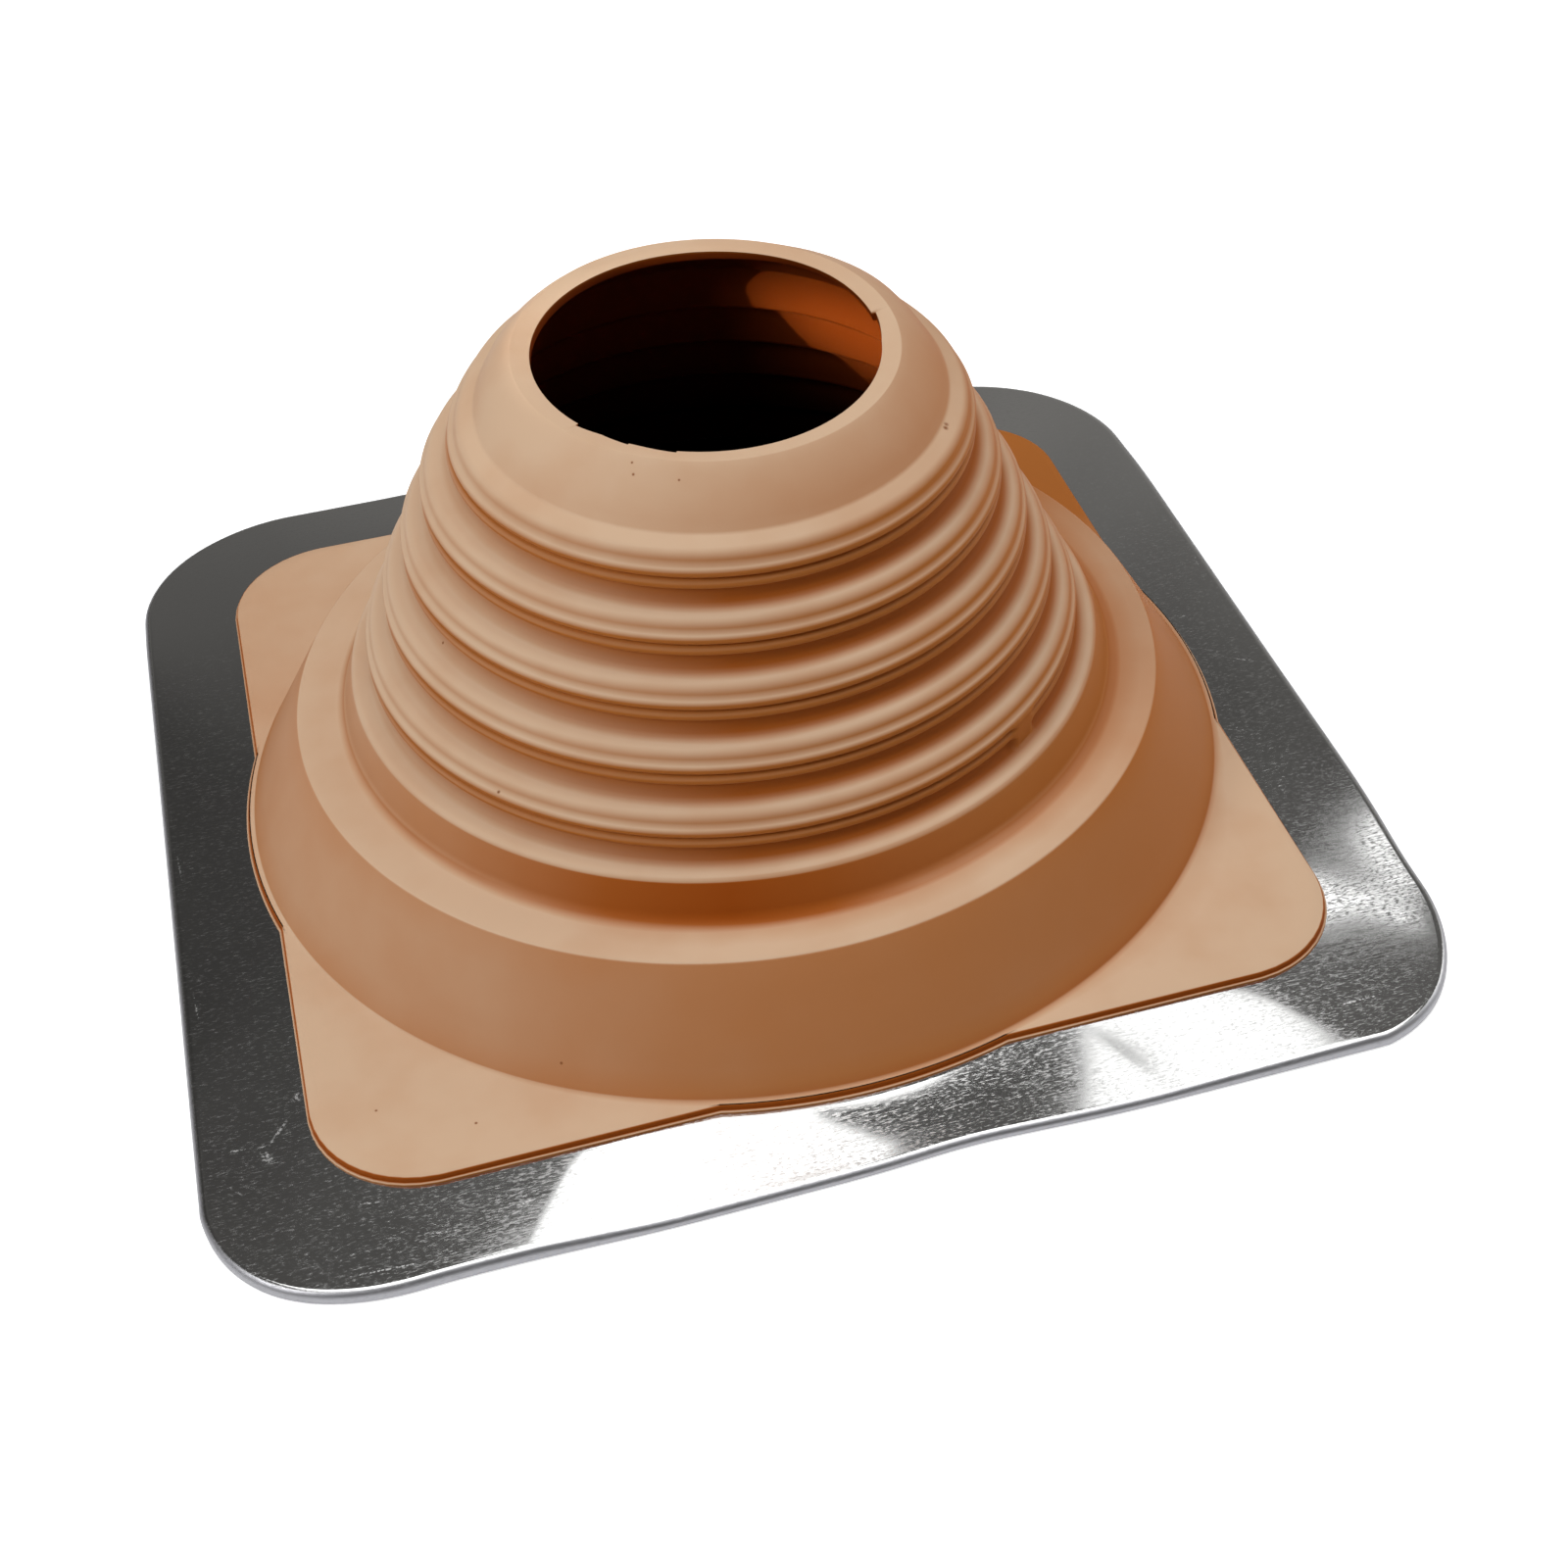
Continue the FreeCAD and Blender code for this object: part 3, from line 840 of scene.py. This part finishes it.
def base_rows(b, hole, pad_edge, angles):
    """Lists the rings of the sheet, from its hole out over the rim and back underneath."""
    out = edge_offset(angles)
    fall = droop(angles)
    lift = border_lift(angles) - fall
    under = b.top - b.thickness

    def outline(inward):
        limit = (b.half - inward) / np.maximum(np.abs(np.cos(angles)), np.abs(np.sin(angles)))
        return np.minimum(rounded_square(b.half - inward, b.corner_r - inward, angles) + out, limit)

    def border_rise(t):
        return (lift + fall) * t ** RISE_POWER - fall * t * (2 - t)

    def rim_z(z):
        low = np.maximum(lift, 0)
        return low + (b.top + lift - low) * z / b.top

    def border(edge, z, shares):
        return [(pad_edge + (edge - pad_edge) * t, z + border_rise(t)) for t in shares]

    rows = [(hole, b.top)] + border(outline(b.bend_r), b.top, [i / BORDER_STEPS for i in range(BORDER_STEPS + 1)])
    bend_start = len(rows)
    for i in range(1, BEND_STEPS + 1):
        turn = pi / 2 * i / BEND_STEPS
        rows.append((outline(b.bend_r * (1 - sin(turn))), rim_z(b.top - b.bend_r * (1 - cos(turn)))))
    rows += [(outline(inward), rim_z(z)) for inward, z in RIM_FOOT]
    rows += [(outline(b.thickness), rim_z(0.1)), (outline(b.thickness), rim_z(under - 0.5)),
             (outline(b.thickness + 0.5), rim_z(under))]
    rows += border(outline(b.thickness + 1.5), under, [1 - i / UNDER_STEPS for i in range(UNDER_STEPS + 1)])
    rows.append((hole, under))
    # The rim mark runs from the second ring of its bend down to its foot: there the bending tool made the metal
    # rougher, and its colour is painted darker, as painted shade
    rim = np.zeros(len(rows))
    rim[bend_start + 1] = 0.6
    rim[bend_start + 2:bend_start + 12] = 1
    return rows, {"rim": rim}


class FLASHING_OT_make_base(bpy.types.Operator):
    """Makes the square aluminium sheet with its turned-down rim, waves and marks"""
    bl_idname = "flashing.make_base"
    bl_label = "Make base sheet"

    def execute(self, context):
        s = in_millimetres(context.scene.flashing_boot)
        b = in_millimetres(context.scene.flashing_base)
        angles = np.radians(np.arange(0, 360, SHEET_TURN))
        pad_edge = pad_outline(s, angles) + s.flash + FLASH_CLEAR
        rows, marks = base_rows(b, s.hole_r, pad_edge, angles)
        places = ring_points(rows, angles)
        piece = mesh_object("aluminium_sheet", keep_in_box(places), 40, marks)
        piece.data.materials.append(rolled_aluminium(context.scene.flashing_finish))
        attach(piece, "root")
        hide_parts(BASE)
        return {"FINISHED"}


def add_camera(studio):
    """Adds the camera at the photograph's viewing angle."""
    data = bpy.data.cameras.new("camera")
    data.sensor_width = 36
    data.lens = studio.lens
    data.shift_x = studio.shift_x
    data.clip_start = 0.01
    azimuth, elevation, turn = studio.camera_azimuth, studio.camera_elevation, studio.camera_roll
    back = Vector((sin(azimuth) * cos(elevation), -cos(azimuth) * cos(elevation), sin(elevation)))
    right = (-back).cross(Vector((0, 0, 1))).normalized()
    up = right.cross(-back)
    axes = Matrix((right * cos(turn) + up * sin(turn), up * cos(turn) - right * sin(turn), back)).transposed()
    camera = add_object("camera", data)
    camera.matrix_world = Matrix.Translation(Vector(studio.target) + back * studio.camera_distance) @ axes.to_4x4()
    bpy.context.scene.camera = camera


def add_soft_light(name, place, aim, size, energy, spread=180, shape="RECTANGLE"):
    """Adds a soft light, size metres wide and deep, that points at a place, with its spread in degrees."""
    data = bpy.data.lights.new(name, "AREA")
    data.shape = shape
    data.size, data.size_y = size
    data.energy = energy
    data.spread = radians(spread)
    light = add_object(name, data)
    light.location = place
    light.rotation_euler = (Vector(aim) - Vector(place)).to_track_quat("-Z", "Y").to_euler()


def seen_white(tree, fill):
    """Gives 1 for camera, glossy and transmission rays, and the fill level for the rest."""
    seen = 0.0
    for kind in ("Camera", "Glossy", "Transmission"):
        ray = add_node(tree, "ShaderNodeLightPath", give=f"Is {kind} Ray")
        seen = add_node(tree, "ShaderNodeMath", {0: seen, 1: ray}, operation="MAXIMUM")
    return add_node(tree, "ShaderNodeMapRange", {0: seen, 3: fill})


def set_world(studio):
    """Makes a white world that lights the object at the fill level."""
    world = bpy.data.worlds.new("studio_white")
    world.use_nodes = True
    tree = world.node_tree
    tree.nodes.clear()
    sky = add_node(tree, "ShaderNodeBackground", {"Color": (1, 1, 1, 1), "Strength": seen_white(tree, studio.fill)})
    add_node(tree, "ShaderNodeOutputWorld", {"Surface": sky})
    bpy.context.scene.world = world


def add_stage_mesh(name, points, faces, material):
    """Adds a flat-shaded piece of the studio with one material."""
    mesh = bpy.data.meshes.new(name)
    mesh.from_pydata(points, [], faces)
    mesh.materials.append(material)
    return add_object(name, mesh)


def add_floor():
    """Adds the studio floor, which keeps the object's shadow and is painted black only inside the cone, as painted
    shade for the cone's inside.
    """
    material, tree = new_material("matt_white_floor")
    place = add_node(tree, "ShaderNodeTexCoord", give="Object")
    away = add_node(tree, "ShaderNodeVectorMath", {0: place}, operation="LENGTH", give="Value")
    # Painted shade: the floor turns black inside the cone's foot
    tone = add_node(tree, "ShaderNodeMapRange", {0: away, 1: 0.112, 2: 0.116, 4: 0.9})
    paper = add_node(tree, "ShaderNodeBsdfDiffuse", {"Color": tone})
    seen = add_node(tree, "ShaderNodeMath", {0: seen_white(tree, 0.0), 1: tone}, operation="MULTIPLY")
    glow = add_node(tree, "ShaderNodeEmission", {"Color": (0.6, 0.6, 0.6, 1), "Strength": seen})
    both = add_node(tree, "ShaderNodeAddShader", {0: paper, 1: glow})
    add_node(tree, "ShaderNodeOutputMaterial", {"Surface": both})
    half, height = 2.5, -0.2 * MM
    points = [(x * half, y * half, height) for x, y in ((-1, -1), (1, -1), (1, 1), (-1, 1))]
    floor = add_stage_mesh("studio_floor", points, [(0, 1, 2, 3)], material)


def add_dark_dome():
    """Adds the dark studio round the set, which only reflections see, so that bare metal reads dark."""
    radius, rings, sides = 1.9, 16, 48
    points, faces = [], []
    for i in range(rings + 1):
        lift = pi / 2 * i / rings
        for a in np.linspace(0, 2 * pi, sides, endpoint=False):
            out = radius * cos(lift)
            points.append((out * cos(a), out * sin(a), radius * sin(lift)))
    for i in range(0, rings * sides, sides):
        faces += [(i + j, i + (j + 1) % sides, i + sides + (j + 1) % sides, i + sides + j) for j in range(sides)]
    material, tree = new_material("dark_studio_cloth")
    place = add_node(tree, "ShaderNodeTexCoord", give="Object")
    height, across = (add_node(tree, "ShaderNodeSeparateXYZ", {0: place}, give=axis) for axis in "ZX")
    tone = add_node(tree, "ShaderNodeMapRange", {0: height, 1: 0.85, 2: 1.25, 3: 0.16, 4: 0.063},
                    interpolation_type="SMOOTHSTEP")
    side = add_node(tree, "ShaderNodeMapRange", {0: across, 1: -0.4, 2: 0.9, 3: 0.8, 4: 1.7})
    lift = add_node(tree, "ShaderNodeMapRange", {0: height, 1: 1.32, 2: 1.48, 4: 0.65})
    left = add_node(tree, "ShaderNodeMapRange", {0: across, 2: 0.4, 3: 1.0, 4: 0.3})
    lift = add_node(tree, "ShaderNodeMath", {0: lift, 1: left, 2: 1.0}, operation="MULTIPLY_ADD")
    folds = add_node(tree, "ShaderNodeTexNoise", {"Vector": place, "Scale": 4.0, "Detail": 2.0})
    folds = add_node(tree, "ShaderNodeMapRange", {0: folds, 1: 0.35, 2: 0.65, 3: 0.85, 4: 1.15})
    for change in (side, lift, folds):
        tone = add_node(tree, "ShaderNodeMath", {0: tone, 1: change}, operation="MULTIPLY")
    glow = add_node(tree, "ShaderNodeEmission", {"Color": (1.0, 0.97, 0.93, 1), "Strength": tone})
    add_node(tree, "ShaderNodeOutputMaterial", {"Surface": glow})
    dome = add_stage_mesh("studio_dark_dome", points, faces, material)
    reflections_only(dome)


# White cards overhead that only reflections see: their height, each one's (x, y) corners in metres and its glow
CARD_HEIGHT = 1.15
CARDS = (
    ((-0.12, 0.72), (-0.05, 0.5), (0.04, 0.40), (0.118, 0.48), (0.198, 0.60), (0.236, 0.70), (0.239, 0.77),
     (0.198, 0.86), (0.05, 0.90), (-0.014, 0.811), (-0.068, 0.763)),
    ((0.39, 0.45), (0.59, 0.45), (0.575, 0.755), (0.58, 0.78), (0.575, 0.813), (0.565, 0.854), (0.55, 0.92),
     (0.44, 0.92), (0.419, 0.817), (0.406, 0.774)),
    ((0.681, 0.90), (0.74, 0.907), (0.83, 0.89), (0.81, 0.93), (0.761, 0.944), (0.707, 0.967)),
)
CARD_GLOW = (2.0, 1.8, 2.4)


def add_card(name, corners, strength):
    """Adds a glowing white card that shows in the bare metal and lights nothing else."""
    material, tree = new_material(name)
    glow = add_node(tree, "ShaderNodeEmission", {"Color": (1, 1, 1, 1), "Strength": strength})
    add_node(tree, "ShaderNodeOutputMaterial", {"Surface": glow})
    points = [(x, y, CARD_HEIGHT) for x, y in corners]
    card = add_stage_mesh(name, points, [range(len(corners))], material)
    reflections_only(card)


def reflections_only(item):
    """Hides an object from everything but reflections."""
    for ray in ("camera", "diffuse", "transmission", "volume_scatter", "shadow"):
        setattr(item, "visible_" + ray, False)


# Soft lights: name, place, aim and size in metres, the level that sets the power, and a beam's spread and shape
LIGHTS = (
    ("overhead_softbox", (0.2, 0.05, 1.15), (0.2, 0.05, 0), (1.3, 0.9), "overhead"),
    ("key_softbox", (-0.88, -0.35, 0.80), (0, 0, 0.06), (0.5, 0.5), "key"),
    ("side_softbox", (0.88, 0.0, 0.38), (0, 0, 0.06), (0.5, 0.4), "side"),
    ("opening_snoot", (-0.62, -0.29, 0.46), (0.046, 0.026, 0.090), (0.062, 0.022), "snoot", 1.5, "ELLIPSE"),
)


class FLASHING_OT_set_studio(bpy.types.Operator):
    """Sets the camera, the world, the floor, the dome, the cards and the lights"""
    bl_idname = "flashing.set_studio"
    bl_label = "Set studio"

    def execute(self, context):
        studio = context.scene.flashing_studio
        context.scene.view_settings.view_transform = "Standard"
        add_camera(studio)
        set_world(studio)
        add_floor()
        add_dark_dome()
        for number, (corners, strength) in enumerate(zip(CARDS, CARD_GLOW)):
            add_card(f"white_card_{number + 1}", corners, strength)
        for name, place, aim, size, level, *beam in LIGHTS:
            add_soft_light(name, place, aim, size, getattr(studio, level), *beam)
        return {"FINISHED"}


class FLASHING_PT_sidebar(bpy.types.Panel):
    """Lists the parts of the flashing boot"""
    bl_idname = "FLASHING_PT_sidebar"
    bl_label = "Pipe flashing boot"
    bl_space_type = "VIEW_3D"
    bl_region_type = "UI"
    bl_category = "Flashing"

    def draw(self, context):
        for operator in OPERATORS:
            self.layout.operator(operator.bl_idname)
        for group in GROUPS:
            self.layout.label(text=group)
            values = getattr(context.scene, group)
            for name in values.__annotations__:
                self.layout.prop(values, name)


OPERATORS = (FLASHING_OT_make_boot, FLASHING_OT_make_base, FLASHING_OT_set_studio)
GROUPS = {"flashing_boot": BootSizes, "flashing_base": BaseSizes, "flashing_finish": Finish, "flashing_studio": Studio}


def register():
    for group in GROUPS.values():
        bpy.utils.register_class(group)
    for name, group in GROUPS.items():
        setattr(bpy.types.Scene, name, PointerProperty(type=group))
    for item in (*OPERATORS, FLASHING_PT_sidebar):
        bpy.utils.register_class(item)


def unregister():
    for item in (FLASHING_PT_sidebar, *OPERATORS):
        bpy.utils.unregister_class(item)
    for name in GROUPS:
        delattr(bpy.types.Scene, name)
    for group in GROUPS.values():
        bpy.utils.unregister_class(group)


def plain(box):
    """Turns a box's corners into plain lists of numbers."""
    return [[float(value) for value in corner] for corner in box]


def main():
    register()
    bpy.ops.flashing.make_boot()
    bpy.ops.flashing.make_base()
    bpy.ops.flashing.set_studio()


if __name__ == "__main__":
    main()
